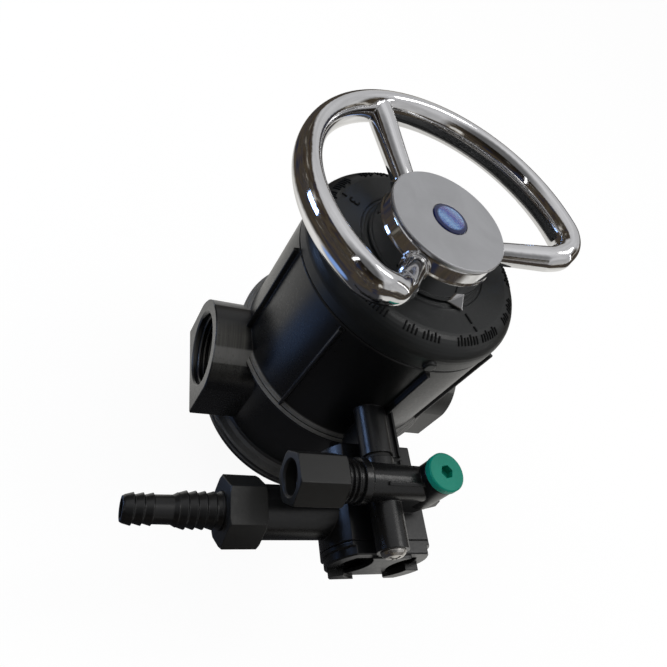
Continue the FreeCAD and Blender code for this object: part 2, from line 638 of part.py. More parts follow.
def injector_body():
    plug_boss = revolve([(0, 62.0), (5.6, 62.0), (5.6, 69.0), (PLUG_BOSS_R, 72.0),
                         (PLUG_BOSS_R, 89.1), (PLUG_BOSS_R - 0.3, 89.9), (0, 89.9)], PLUG_AXIS)
    # web between the screw boss, the plug boss and the housing: x, z
    web_outline = [(-3, 79.0), (16.2, 79.0), (17.9, 73.5), (14.0, 69.0), (11.0, 62.0),
                   (-3, 62.0)]
    web = prism([Vector(x, -84.2, z) for x, z in web_outline], Y_DIR * 4.4)
    web_x0, web_x1 = BOSS_X - 1.2, BOSS_X + 4.8
    body = flat_cylinder(HOUSING_R, HOUSING_HALF_H, HOUSING_BACK_Y, HOUSING_FRONT_Y)
    body = fuse_all(body, [
        leftward(DRAIN_R, -12, DRAIN_Y, DRAIN_Z, 36.5),
        drain_spout(), brine_tube(), tube_rib(), plug_boss,
        # screw bosses and the blocks that join them to the housing
        forward(BOSS_R, BOSS_X, BOSS_Z, HOUSING_BACK_Y, HOUSING_BACK_Y - UPPER_BOSS_END_Y),
        forward(BOSS_R, LOW_BOSS_X, LOW_BOSS_Z, HOUSING_BACK_Y,
                HOUSING_BACK_Y - LOWER_BOSS_END_Y),
        box(LOW_BOSS_X - 3.5, LOW_BOSS_X + 3.5, LOWER_BOSS_END_Y + 0.6, HOUSING_BACK_Y,
            LOW_BOSS_Z, 40.0),
        upper_block(-80.0, HOUSING_BACK_Y),
        box(web_x0, web_x1, UPPER_BOSS_END_Y + 0.5, -79.0,
            HOUSING_Z + HOUSING_HALF_H + 0.1, BOSS_Z),
        box(web_x0, web_x1, HOUSING_FRONT_Y, -79.0, 60.0, BOSS_Z),
        *top_strips(-73.0, HOUSING_BACK_Y),
        web])
    body = cut_all(body, [
        # housing cavity and its inlet
        forward(CAVITY_R, HOUSING_X, HOUSING_Z, -73.0, 40),
        forward(LINK_R, 0, HOUSING_Z, -60.0, 20),
        # drain
        leftward(6.0, -10, DRAIN_Y, DRAIN_Z, 50),
        leftward(7.5, -48.6, DRAIN_Y, DRAIN_Z, 10),
        # brine tube
        leftward(4.9, -30.0, TUBE_Y, TUBE_Z, 10),
        leftward(2.6, 10.0, TUBE_Y, TUBE_Z, 45),
        # injector bore under the plug
        upright(4.0, PLUG_X, PLUG_Y, 70.5, 14),
        upright(1.6, PLUG_X, PLUG_Y, 55.0, 17),
        upright(5.6, PLUG_X, PLUG_Y, 82.0, 10),
        # small passage, forwards and then right to the injector bore
        forward(SMALL_R, SMALL_X, SMALL_Z, -60.0, 17.5),
        cylinder(SMALL_R, (SMALL_X, -77.5, SMALL_Z), X_DIR, 10.0),
        *[forward(2.75, x, z, -60.0, 50) for x, z in (UPPER_BOSS, LOWER_BOSS)]])
    return body.removeSplitter()


def injector_gasket():
    thickness = 1.44
    back_y = NECK_Y - 0.02
    front_y = back_y - thickness
    gasket = flat_cylinder(19.4, HOUSING_HALF_H - 1.0, back_y, front_y)
    gasket = fuse_all(gasket, [
        forward(5.4, BOSS_X, BOSS_Z, back_y, thickness),
        box(-2.4, 4.4, front_y, back_y, 60.0, 75.0),
        forward(5.2, LOW_BOSS_X, LOW_BOSS_Z, back_y, thickness),
        box(LOW_BOSS_X - 3.5, LOW_BOSS_X + 3.5, front_y, back_y, LOW_BOSS_Z, 42.0)])
    holes = ((2.9, BOSS_X, BOSS_Z), (SMALL_R, SMALL_X, SMALL_Z),
             (2.9, LOW_BOSS_X, LOW_BOSS_Z), (LINK_R, 0, HOUSING_Z))   # radius, x, z
    return cut_all(gasket, [forward(radius, x, z, -60, 20)
                            for radius, x, z in holes]).removeSplitter()


def pan_screw(x, z, seat_y):
    """Cross-slotted screw along Y, its head in front of seat_y."""
    seat = (x, seat_y, z)
    shank = revolve([(0, 0.0), (2.5, 0.0), (2.5, 43.0), (2.1, 44.5), (0, 44.5)], seat, "y")
    head = revolve([(0, -2.55), (1.8, -2.5), (3.3, -2.1), (4.3, -1.3), (4.7, -0.4),
                    (4.7, -0.02), (2.5, -0.02), (2.5, 0.5), (0, 0.5)], seat, "y")
    screw = shank.fuse(head)
    for angle in (20, 110):
        slot = box(x - 2.7, x + 2.7, seat_y - 3.3, seat_y - 1.15, z - 0.5, z + 0.5)
        slot.rotate(Vector(x, 0, z), Y_DIR, angle)
        screw = screw.cut(slot)
    return screw.removeSplitter()


def injector_screws():
    return Part.makeCompound([pan_screw(*UPPER_BOSS, UPPER_BOSS_END_Y),
                              pan_screw(*LOWER_BOSS, LOWER_BOSS_END_Y)])


# ---- injector internals and plug ------------------------------------------------------------
INSERT_R = 3.92            # throat and nozzle in the 4.0 bore


def injector_throat():
    return revolve([(0.9, 70.6), (3.6, 70.6), (INSERT_R, 71.0), (INSERT_R, 75.6),
                    (1.8, 75.6)], PLUG_AXIS)


def injector_nozzle():
    return revolve([(0.7, 75.7), (2.6, 75.7), (INSERT_R, 77.0), (INSERT_R, 82.02),
                    (5.4, 82.02), (5.4, 83.6), (2.2, 83.6)], PLUG_AXIS)


def injector_plug():
    plug = revolve([(0, 84.0), (5.2, 84.0), (5.5, 84.4), (5.5, 85.6), (4.3, 85.6),
                    (4.3, 87.2), (5.5, 87.2), (5.5, 89.95), (7.4, 89.95), (7.5, 90.2),
                    (7.5, 92.5), (7.0, 93.0), (0, 93.0)], PLUG_AXIS)
    return plug.cut(hex_z(4.6, 89.6, 94, PLUG_X, PLUG_Y, 12))


def plug_o_ring():
    return torus(4.94, 0.6, 86.4, PLUG_X, PLUG_Y)


# ---- brine nut, sleeve, flow control --------------------------------------------------------
def brine_nut():
    left_x, right_x = -45.6, -26.7
    bore_r, thread_r = 5.9, BRINE_THREAD_R + 0.08
    nut = hex_x(10.2, left_x, right_x, TUBE_Y, TUBE_Z, phase=28, chamfer=0.8)
    return nut.cut(revolve([(0, -50), (6.7, -50), (6.7, left_x), (bore_r, left_x + 0.8),
                            (bore_r, -41.0), (thread_r, -41.0), (thread_r, -20), (0, -20)],
                           TUBE_AXIS, "x"))


def brine_sleeve():
    return ring(4.95, 7.9, -40.9, -39.1, TUBE_AXIS, "x")


def brine_flow_button():
    return ring(1.1, 4.82, -36.0, -32.2, TUBE_AXIS, "x")


# ---- end cover of the housing ---------------------------------------------------------------
END_R = 20.4               # front part of the end cover
END_FACE_Y = -99.8
END_BACK_Y = HOUSING_FRONT_Y - 0.05


def face_pocket(side):
    pocket = forward(15.6, HOUSING_X, HOUSING_Z, END_FACE_Y + 2.2, 6.0)
    pocket = pocket.common(box(HOUSING_X - 16, HOUSING_X + 16, -110, -90,
                               HOUSING_Z - 9.6, HOUSING_Z + 8.6))
    return pocket.cut(forward(14.0, HOUSING_X - side * 9.0, HOUSING_Z, -90, 20.0))


def face_lug(start, end):
    """Arc lug low on the face; angles run from +X towards +Z."""
    lug = ring(13.2, END_R - 1.2, END_FACE_Y - 2.6, END_FACE_Y + 0.2, HOUSING_AXIS, "y")
    centre = Vector(HOUSING_X, -110, HOUSING_Z)
    wedge = [centre]
    for angle in (start, (start + end) / 2.0, end):
        turn = math.radians(angle)
        wedge.append(centre + Vector(math.cos(turn), 0, math.sin(turn)) * 60.0)
    return lug.common(prism(wedge, Y_DIR * 20)).common(
        box(-30, 30, -110, -90, HOUSING_Z - HOUSING_HALF_H + 1.0, HOUSING_Z + 20))


def end_cover():
    cover = flat_cylinder(HOUSING_R, HOUSING_HALF_H, END_BACK_Y, -96.4)
    cover = cover.fuse(flat_cylinder(END_R, HOUSING_HALF_H, -96.0, END_FACE_Y))
    for size, edge_y in ((0.4, END_FACE_Y), (0.35, END_BACK_Y)):
        cover = cover.makeChamfer(size, edges_at(cover, "Y", edge_y, min_length=8.0))
    # two pockets leave a grip bar across the face
    cover = cut_all(cover, [face_pocket(side) for side in (-1, 1)])
    bar = flat_cylinder(16.5, HOUSING_HALF_H - 1.4, END_FACE_Y + 0.2, END_FACE_Y - 1.2)
    bar = cut_all(bar, [forward(16.0, HOUSING_X + side * 21.0, HOUSING_Z + 2.0, -90, 20.0)
                        for side in (-1, 1)])
    cover = fuse_all(cover, [bar, face_lug(206, 254), face_lug(-52, -2)])
    # hollow spigot with a seal groove, inside the housing cavity
    spigot_r, groove_r = CAVITY_R - 0.08, CAVITY_R - 1.9
    cover = cover.fuse(revolve([
        (0, -86.0), (CAVITY_R - 0.5, -86.0), (spigot_r, -86.5), (spigot_r, -87.6),
        (groove_r, -87.6), (groove_r, -90.4), (spigot_r, -90.4), (spigot_r, -95.5),
        (0, -95.5)], HOUSING_AXIS, "y"))
    cover = cover.cut(revolve([(0, -85), (7.0, -85), (7.0, -95.0), (0, -95.0)],
                              HOUSING_AXIS, "y"))
    return cover.removeSplitter()


def end_cover_o_ring():
    return Part.makeTorus(CAVITY_R - 1.0, 0.88, Vector(HOUSING_X, -89.0, HOUSING_Z), Y_DIR)


# ---- drain line -----------------------------------------------------------------------------
def drain_flow_button():
    return ring(2.1, 7.4, -53.8, -48.8, DRAIN_AXIS, "x")


def drain_nut():
    thread_r = DRAIN_THREAD_R + 0.08
    nut = hex_x(13.2, -61.4, -47.4, DRAIN_Y, DRAIN_Z, phase=38, chamfer=1.0)
    return nut.cut(revolve([(0, -70), (6.9, -70), (6.9, -57.9), (thread_r, -57.9),
                            (thread_r, -40), (0, -40)], DRAIN_AXIS, "x"))


def barb_gasket():
    return ring(5.2, 8.8, -55.58, -54.42, DRAIN_AXIS, "x")


def barb_teeth(start, count, root, crest, foot, foot_offset):
    """Profile points of a row of barbs; each drops from its crest to the foot radius."""
    points = []
    for k in range(count):
        x = start + 3.3 * k
        points += [(root, x), (crest, x + 2.7), (foot, x + foot_offset)]
    return points


def hose_barb():
    return revolve([(3.4, -96.0), (4.3, -96.0)]
                   + barb_teeth(-95.2, 3, 4.75, 5.5, 4.95, 2.9)
                   + [(4.95, -84.6), (5.05, -79.0), (5.9, -77.4)]
                   + barb_teeth(-77.2, 4, 5.8, 6.65, 6.0, 2.95)
                   + [(6.0, -63.6), (6.4, -62.6), (6.8, -62.0), (6.8, -57.8), (9.9, -57.8),
                      (9.9, -55.6), (3.4, -55.6)], DRAIN_AXIS, "x")


os.makedirs("parts", exist_ok=True)
for build in (valve_body, tank_o_ring, riser_o_ring, top_cover, cover_o_ring, shaft,
              shaft_o_rings, thrust_washer, fixed_disc_gasket, fixed_disc, moving_disc,
              moving_disc_seal, detent_ball, detent_spring, handwheel, hub_cap, hub_badge,
              handwheel_washer, handwheel_screw, injector_body, injector_gasket,
              injector_screws, injector_throat, injector_nozzle, injector_plug, plug_o_ring,
              brine_nut, brine_sleeve, brine_flow_button, end_cover, end_cover_o_ring,
              drain_flow_button, drain_nut, barb_gasket, hose_barb):
    save(build.__name__, build())
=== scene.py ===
"""Looks and stage for a black moulded valve with a numbered round cover.

Z is up. The two side ports lie along X, the cover faces +Z and the camera looks from
the -X, -Y side. Mesh sizes are in millimetres, scaled by MM when the vertices are made.
Materials, lights and camera are in metres.
"""
import json
import math

import bmesh
import bpy
from mathutils import Matrix, Vector


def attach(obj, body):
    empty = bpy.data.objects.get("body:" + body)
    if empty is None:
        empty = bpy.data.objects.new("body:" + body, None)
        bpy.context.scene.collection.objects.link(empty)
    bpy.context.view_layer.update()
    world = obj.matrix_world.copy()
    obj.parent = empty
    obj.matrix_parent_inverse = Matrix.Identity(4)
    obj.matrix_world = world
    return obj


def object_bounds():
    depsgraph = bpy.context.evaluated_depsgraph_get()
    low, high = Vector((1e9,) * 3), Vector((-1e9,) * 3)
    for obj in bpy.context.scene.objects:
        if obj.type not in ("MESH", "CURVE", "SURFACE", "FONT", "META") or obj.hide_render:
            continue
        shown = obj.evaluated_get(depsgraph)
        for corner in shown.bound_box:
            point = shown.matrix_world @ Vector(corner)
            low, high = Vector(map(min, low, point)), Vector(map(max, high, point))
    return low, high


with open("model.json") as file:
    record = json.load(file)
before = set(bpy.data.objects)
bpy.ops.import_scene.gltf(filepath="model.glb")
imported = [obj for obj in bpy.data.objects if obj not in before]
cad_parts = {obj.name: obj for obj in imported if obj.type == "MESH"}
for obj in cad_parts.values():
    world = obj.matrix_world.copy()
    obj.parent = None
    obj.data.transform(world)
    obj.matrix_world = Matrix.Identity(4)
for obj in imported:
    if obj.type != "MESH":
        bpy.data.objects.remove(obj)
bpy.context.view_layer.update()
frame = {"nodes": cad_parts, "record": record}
scene = bpy.context.scene
MM = 0.001


# ---------------------------------------------------------------------------------
# shader graphs
# ---------------------------------------------------------------------------------
class Graph:
    """Node tree of a material or world, emptied and ready to build."""

    def __init__(self, owner):
        owner.use_nodes = True
        self.tree = owner.node_tree
        self.tree.nodes.clear()

    def feed(self, socket, value):
        """Link a socket, or set its value; plain colours gain an alpha of 1."""
        if isinstance(value, bpy.types.NodeSocket):
            self.tree.links.new(value, socket)
        elif isinstance(value, tuple) and len(socket.default_value) == 4:
            socket.default_value = (*value, 1)
        else:
            socket.default_value = value

    def node(self, kind, inputs=None, **settings):
        node = self.tree.nodes.new(kind)
        for key, value in settings.items():
            setattr(node, key, value)
        for key, value in (inputs or {}).items():
            self.feed(node.inputs[key], value)
        return node

    def noise(self, scale, detail=4.0, rough=0.55, distort=0.0, coord=None):
        inputs = {"Scale": scale, "Detail": detail, "Roughness": rough,
                  "Distortion": distort, "Vector": coord or self.coord}
        return self.node("ShaderNodeTexNoise", inputs).outputs["Fac"]

    def ramp(self, factor, stops):
        """Colour ramp from (position, colour) stops."""
        ramp = self.node("ShaderNodeValToRGB", {0: factor})
        elements = ramp.color_ramp.elements
        while len(elements) < len(stops):
            elements.new(0.5)
        for element, (position, color) in zip(elements, stops):
            element.position = position
            element.color = (*color, 1)
        return ramp.outputs[0]

    def remap(self, value, between, to=(0.0, 1.0), **settings):
        inputs = {"From Min": between[0], "From Max": between[1],
                  "To Min": to[0], "To Max": to[1], "Value": value}
        return self.node("ShaderNodeMapRange", inputs, **settings).outputs[0]

    def mix(self, factor, a, b):
        inputs = {0: factor, 6: a, 7: b}
        return self.node("ShaderNodeMix", inputs, data_type="RGBA").outputs[2]

    def math(self, operation, a, b=0.0):
        return self.node("ShaderNodeMath", {0: a, 1: b}, operation=operation).outputs[0]

    def multiply(self, a, b):
        return self.math("MULTIPLY", a, b)

    def vector(self, operation, a, b=(0.0, 0.0, 0.0)):
        return self.node("ShaderNodeVectorMath", {0: a, 1: b}, operation=operation)

    def split(self, vector):
        """The x, y and z outputs of a vector."""
        return self.node("ShaderNodeSeparateXYZ", {0: vector}).outputs

    def mix_shader(self, factor, a, b):
        return self.node("ShaderNodeMixShader", {0: factor, 1: a, 2: b}).outputs[0]


class Surface(Graph):
    """A material with one Principled shader, textured in object coordinates."""

    def __init__(self, name):
        self.material = bpy.data.materials.new(name)
        super().__init__(self.material)
        self.output = self.node("ShaderNodeOutputMaterial")
        self.shader = self.node("ShaderNodeBsdfPrincipled")
        self.feed(self.output.inputs["Surface"], self.shader.outputs[0])
        self.coord = self.node("ShaderNodeTexCoord").outputs["Object"]

    def stretch(self, *scale):
        inputs = {"Scale": scale, "Vector": self.coord}
        return self.node("ShaderNodeMapping", inputs).outputs[0]

    def bump(self, height, strength, distance, normal=None):
        inputs = {"Strength": strength, "Distance": distance, "Height": height}
        if normal is not None:
            inputs["Normal"] = normal
        return self.node("ShaderNodeBump", inputs).outputs[0]

    def soft_edges(self, radius):
        return self.node("ShaderNodeBevel", {"Radius": radius}, samples=6).outputs[0]

    def edge_mask(self, radius):
        """0 on open faces, 1 along convex and concave edges."""
        true_normal = self.node("ShaderNodeNewGeometry").outputs["Normal"]
        alignment = self.vector("DOT_PRODUCT", true_normal, self.soft_edges(radius))
        bend = self.math("SUBTRACT", 1.0, alignment.outputs["Value"])
        return self.remap(bend, between=(0.02, 0.35))

    def window(self, value, rise, fall):
        """1 between the two spans, 0 outside them."""
        return self.multiply(self.remap(value, between=rise),
                             self.remap(value, between=fall, to=(1.0, 0.0)))

    def finish(self, color, rough, normal, extra=None):
        """Feed the shader and return the material."""
        inputs = {"Base Color": color, "Roughness": rough, "Normal": normal, **(extra or {})}
        for key, value in inputs.items():
            self.feed(self.shader.inputs[key], value)
        return self.material


# ---------------------------------------------------------------------------------
# materials
# ---------------------------------------------------------------------------------
def scaled(color, factor, lift=0.0):
    return tuple(x * factor + lift for x in color)


def port_finish(m, color, normal, mottle):
    """Turned rings on the side ports as a bump, a painted sheen on their upper front sides,
    and a painted highlight on the upward faces of the steps.
    """
    place = m.split(m.coord)
    facing = m.split(m.node("ShaderNodeNewGeometry").outputs["Normal"])
    # painted sheen on the outer ends, grey where the surface faces up and towards -Y, broken
    # up by the turned rings
    side = m.remap(m.math("ABSOLUTE", place[0]), between=(0.0475, 0.0500))
    upper = m.remap(facing[2], between=(0.30, 0.92))
    frontal = m.remap(facing[1], between=(0.10, -0.25))
    rings = m.noise(scale=1.0, detail=3.0, rough=0.7, coord=m.stretch(1500.0, 30.0, 30.0))
    sheen = m.multiply(m.multiply(side, upper), frontal)
    painted_sheen_amount = m.multiply(sheen, m.remap(rings, between=(0.25, 0.75), to=(0.35, 1.0)))
    # colour of the painted sheen on the ports
    painted_sheen_grey = (0.150, 0.148, 0.134)
    color = m.mix(painted_sheen_amount, color, painted_sheen_grey)
    # height bands of the ledge and of the flange at the foot; their upward faces get a
    # painted highlight
    ledge = m.window(place[2], rise=(0.0486, 0.0490), fall=(0.0530, 0.0534))
    foot = m.window(place[2], rise=(0.001, 0.003), fall=(0.0135, 0.0145))
    foot_share = 0.45
    bands = m.math("MAXIMUM", ledge, m.multiply(foot, foot_share))
    steps = m.multiply(bands, m.remap(facing[2], between=(0.25, 0.8)))
    steps = m.multiply(steps, m.remap(mottle, between=(0.3, 0.7), to=(0.65, 1.0)))
    # colour of the painted highlight on the upward faces of the steps
    painted_highlight_grey = (0.26, 0.258, 0.246)
    color = m.mix(steps, color, painted_highlight_grey)
    return color, m.bump(rings, strength=0.05, distance=0.05e-3, normal=normal)


def moulded_plastic(name, base, rough=(0.30, 0.46), grain=900.0, grain_depth=0.10,
                    flow=(1, 1, 1), edge_wear_and_highlight=0.030, specular=0.5, ports=False):
    """Dark plastic: flow stretches the mottling; the edge grey is partly rubbed edges and
    partly a painted highlight along the edges.
    """
    m = Surface(name)
    clouds = m.noise(scale=22.0, detail=3.0, rough=0.5, distort=0.6, coord=m.stretch(*flow))
    mottle = m.noise(scale=140.0, detail=5.0, rough=0.6, distort=0.3, coord=m.stretch(*flow))
    fine = m.noise(scale=grain, detail=3.0, rough=0.6)
    specks = m.noise(scale=2600.0, detail=2.0, rough=0.5)
    light = scaled(base, 1.35, lift=0.0006)
    dark = scaled(base, 0.55)
    dust = (0.06, 0.058, 0.055)
    color = m.mix(m.remap(clouds, between=(0.35, 0.7)), base, light)
    color = m.mix(m.remap(mottle, between=(0.45, 0.75), to=(0, 0.5)), color, dark)
    color = m.mix(m.remap(specks, between=(0.74, 0.80), to=(0, 0.1)), color, dust)
    # lighter edges: partly rubbed wear, partly a painted highlight along the edges
    lighter_edges = m.edge_mask(radius=0.5e-3)
    lighter_edges = m.multiply(lighter_edges, m.remap(mottle, between=(0.35, 0.7), to=(0.1, 0.8)))
    color = m.mix(lighter_edges, color, (edge_wear_and_highlight, edge_wear_and_highlight, edge_wear_and_highlight * 1.04))
    roughness = m.math("ADD", m.remap(clouds, between=(0.3, 0.7), to=rough),
                       m.remap(fine, between=(0.3, 0.7), to=(-0.04, 0.05)))
    normal = m.soft_edges(radius=0.55e-3)
    normal = m.bump(mottle, strength=0.06, distance=0.25e-3, normal=normal)
    normal = m.bump(fine, strength=grain_depth, distance=0.04e-3, normal=normal)
    if ports:
        color, normal = port_finish(m, color, normal, mottle)
    return m.finish(color, roughness, normal, {"Specular IOR Level": specular, "IOR": 1.5})


def chrome(name):
    m = Surface(name)
    waves = m.noise(scale=35.0, detail=3.0, rough=0.5, distort=0.4)
    smear = m.noise(scale=60.0, detail=4.0, rough=0.6, distort=1.2, coord=m.stretch(1, 1, 3))
    pits = m.noise(scale=1800.0, detail=2.0, rough=0.5)
    color = m.mix(m.remap(smear, between=(0.4, 0.7), to=(0, 0.5)),
                  (0.78, 0.78, 0.79), (0.70, 0.695, 0.69))
    roughness = m.math("ADD", m.remap(smear, between=(0.45, 0.72), to=(0.045, 0.10)),
                       m.remap(pits, between=(0.6, 0.75), to=(0.0, 0.04)))
    normal = m.bump(waves, strength=0.10, distance=0.8e-3, normal=m.soft_edges(0.6e-3))
    return m.finish(color, roughness, normal, {"Metallic": 1.0})


def satin_metal(name, base, rough, brush, depth):
    """Metal with fine lines; brush stretches them, depth is their bump strength."""
    m = Surface(name)
    lines = m.noise(scale=500.0, detail=3.0, rough=0.6, coord=m.stretch(*brush))
    blots = m.noise(scale=45.0, detail=4.0, rough=0.55, distort=0.5)
    color = m.mix(m.remap(blots, between=(0.35, 0.7)), base, scaled(base, 0.86))
    line_rough = m.remap(lines, between=(0.3, 0.7), to=(rough - 0.05, rough + 0.06))
    roughness = m.math("ADD", line_rough, m.remap(blots, between=(0.4, 0.7), to=(0.0, 0.05)))
    normal = m.bump(lines, strength=depth, distance=0.05e-3, normal=m.soft_edges(0.3e-3))
    return m.finish(color, roughness, normal, {"Metallic": 1.0})


def green_plastic(name):
    m = Surface(name)
    clouds = m.noise(scale=60.0, detail=3.0, rough=0.5, distort=0.4)
    fine = m.noise(scale=1100.0, detail=3.0, rough=0.6)
    color = m.mix(m.remap(clouds, between=(0.35, 0.7)),
                  (0.0020, 0.300, 0.205), (0.004, 0.345, 0.240))
    wear_share = 0.35
    lighter_edges = m.multiply(m.edge_mask(radius=0.35e-3), wear_share)
    worn_green = (0.02, 0.42, 0.31)
    color = m.mix(lighter_edges, color, worn_green)
    roughness = m.remap(fine, between=(0.3, 0.7), to=(0.36, 0.5))
    normal = m.bump(fine, strength=0.08, distance=0.05e-3, normal=m.soft_edges(0.35e-3))
    return m.finish(color, roughness, normal, {
        "Specular IOR Level": 0.3, "Subsurface Weight": 0.06,
        "Subsurface Radius": (0.002, 0.004, 0.003), "Subsurface Scale": 0.3})


def rubber(name):
    m = Surface(name)
    grain = m.noise(scale=400.0, detail=4.0, rough=0.6)
    clouds = m.noise(scale=60.0, detail=3.0, rough=0.5)
    color = m.mix(m.remap(clouds, between=(0.3, 0.7)),
                  (0.012, 0.012, 0.012), (0.028, 0.027, 0.026))
    roughness = m.remap(grain, between=(0.3, 0.7), to=(0.55, 0.75))
    return m.finish(color, roughness, m.bump(grain, strength=0.15, distance=0.05e-3))


def ceramic(name):
    m = Surface(name)
    grain = m.noise(scale=900.0, detail=4.0, rough=0.6)
    clouds = m.noise(scale=50.0, detail=4.0, rough=0.6, distort=0.5)
    color = m.mix(m.remap(clouds, between=(0.4, 0.7)),
                  (0.78, 0.775, 0.74), (0.70, 0.69, 0.65))
    roughness = m.remap(grain, between=(0.3, 0.7), to=(0.12, 0.24))
    normal = m.bump(grain, strength=0.03, distance=0.03e-3, normal=m.soft_edges(0.2e-3))
    return m.finish(color, roughness, normal)


def natural_plastic(name):
    m = Surface(name)
    grain = m.noise(scale=700.0, detail=4.0, rough=0.6)
    color = m.mix(m.remap(m.noise(scale=70.0), between=(0.3, 0.7)),
                  (0.66, 0.65, 0.60), (0.58, 0.57, 0.52))
    roughness = m.remap(grain, between=(0.3, 0.7), to=(0.35, 0.5))
    normal = m.bump(grain, strength=0.06, distance=0.04e-3, normal=m.soft_edges(0.2e-3))
    return m.finish(color, roughness, normal, {
        "Subsurface Weight": 0.1, "Subsurface Radius": (0.003, 0.003, 0.003),
        "Subsurface Scale": 0.3})


def badge(name):
    """Glossy blue disc with pale and dull red sweeps and a dark rim."""
    m = Surface(name)
    place = m.split(m.coord)

    def sweep(scale, phase, distort):
        inputs = {"Scale": scale, "Distortion": distort, "Detail": 1.0,
                  "Detail Scale": 90.0, "Phase Offset": phase, "Vector": m.coord}
        return m.node("ShaderNodeTexWave", inputs, wave_type="BANDS",
                      bands_direction="DIAGONAL", wave_profile="SIN").outputs["Fac"]

    x_squared = m.multiply(place[0], place[0])
    y_squared = m.multiply(place[1], place[1])
    radius = m.math("SQRT", m.math("ADD", x_squared, y_squared))
    blues = [(0.0, (0.004, 0.040, 0.330)), (0.40, (0.007, 0.080, 0.520)),
             (0.66, (0.030, 0.280, 0.780)), (1.0, (0.60, 0.85, 1.0))]
    dull_red = (0.34, 0.030, 0.07)
    rim_blue = (0.004, 0.012, 0.090)
    color = m.ramp(sweep(scale=64.0, phase=1.9, distort=7.5), blues)
    red_sweep = sweep(scale=46.0, phase=5.1, distort=6.5)
    color = m.mix(m.remap(red_sweep, between=(0.90, 0.98), to=(0, 0.75)), color, dull_red)
    color = m.mix(m.remap(radius, between=(0.0054, 0.0061)), color, rim_blue)
    normal = m.bump(m.noise(scale=120.0), strength=0.04, distance=0.2e-3)
    return m.finish(color, 0.25, normal, {
        "Coat Weight": 0.4, "Coat Roughness": 0.05, "Specular IOR Level": 0.3})


materials = {
    # the body's edge grey is raised to paint bright highlight lines along its edges
    "black_body": moulded_plastic(
        "moulded_black_body", base=(0.0052, 0.0056, 0.0060), rough=(0.26, 0.40),
        flow=(1, 1, 0.35), edge_wear_and_highlight=0.085, ports=True),
    "black_cover": moulded_plastic(
        "moulded_black_cover", base=(0.0088, 0.0104, 0.0108), rough=(0.34, 0.48),
        grain=1200.0, grain_depth=0.14, edge_wear_and_highlight=0.055, specular=0.42),
    "black_fitting": moulded_plastic(
        "moulded_black_fitting", base=(0.0060, 0.0063, 0.0068), rough=(0.24, 0.36),
        grain=700.0, grain_depth=0.06, flow=(0.5, 1, 1), edge_wear_and_highlight=0.050),
    "black_nut": moulded_plastic(
        "moulded_black_nut", base=(0.0110, 0.0112, 0.0104), rough=(0.34, 0.48),
        grain=800.0, grain_depth=0.12, flow=(0.4, 1, 1)),
    "black_barb": moulded_plastic(
        "moulded_black_barb", base=(0.0062, 0.0064, 0.0068), rough=(0.26, 0.40),
        grain=800.0, grain_depth=0.07, flow=(0.4, 1, 1)),
    "black_shaft": moulded_plastic("moulded_black_shaft", base=(0.008, 0.008, 0.0085)),
    "black_rubber": rubber("seal_rubber"),
    "white_ceramic": ceramic("disc_ceramic"),
    "green_plastic": green_plastic("green_moulded"),
    "natural_plastic": natural_plastic("natural_moulded"),
    "steel": satin_metal("plated_steel", base=(0.62, 0.60, 0.57), rough=0.26,
                         brush=(1, 1, 1), depth=0.12),
    "chrome": chrome("mirror_chrome"),
    "satin_cap": satin_metal("satin_cap_metal", base=(0.55, 0.555, 0.57), rough=0.36,
                             brush=(1, 6, 1), depth=0.03),
    "blue_badge": badge("blue_dome"),
}

slot_of = {part["node"]: part["material_slot"] for part in frame["record"]["subparts"]}
for name, piece in frame["nodes"].items():
    material = materials[slot_of[name]]
    if len(piece.material_slots) == 0:
        piece.data.materials.append(material)
    for slot in piece.material_slots:
        slot.material = material


# ---------------------------------------------------------------------------------
# added pieces
# ---------------------------------------------------------------------------------
def add_object(name, mesh, material):
    """Put a finished mesh in the scene, riding on the valve."""
    piece = bpy.data.objects.new(name, mesh)
    scene.collection.objects.link(piece)
    mesh.materials.append(material)
    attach(piece, "valve")


def add_mesh(name, verts, faces, material, smooth):
    mesh = bpy.data.meshes.new(name)
    mesh.from_pydata(verts, [], faces)
    mesh.validate()
    bm = bmesh.new()
    bm.from_mesh(mesh)
    bmesh.ops.recalc_face_normals(bm, faces=bm.faces)
    bm.to_mesh(mesh)
    bm.free()
    for polygon in mesh.polygons:
        polygon.use_smooth = smooth
    add_object(name, mesh, material)


def bar_faces(first, steps):
    """Sides and both ends of a bar made of four-cornered sections."""
    faces = []
    for i in range(steps):
        for k in range(4):
            here = first + i * 4 + k
            beside = first + i * 4 + (k + 1) % 4
            faces.append((here, beside, beside + 4, here + 4))
    last = first + steps * 4
    faces.append((first + 3, first + 2, first + 1, first))
    faces.append((last, last + 1, last + 2, last + 3))
    return faces


PORT_Z = 33.4
THREAD_LENGTH = 16.2
THREAD_PITCH = 2.309
ROOT_RADIUS = 16.58
CREST_RADIUS = 15.35
ROOT_HALF_WIDTH = THREAD_PITCH * 0.46
CREST_HALF_WIDTH = ROOT_HALF_WIDTH * 0.18
FADE_TURNS = 0.35
LEAST_HEIGHT = 0.04  # share of the full ridge left at the faded ends
STEPS_PER_TURN = 72


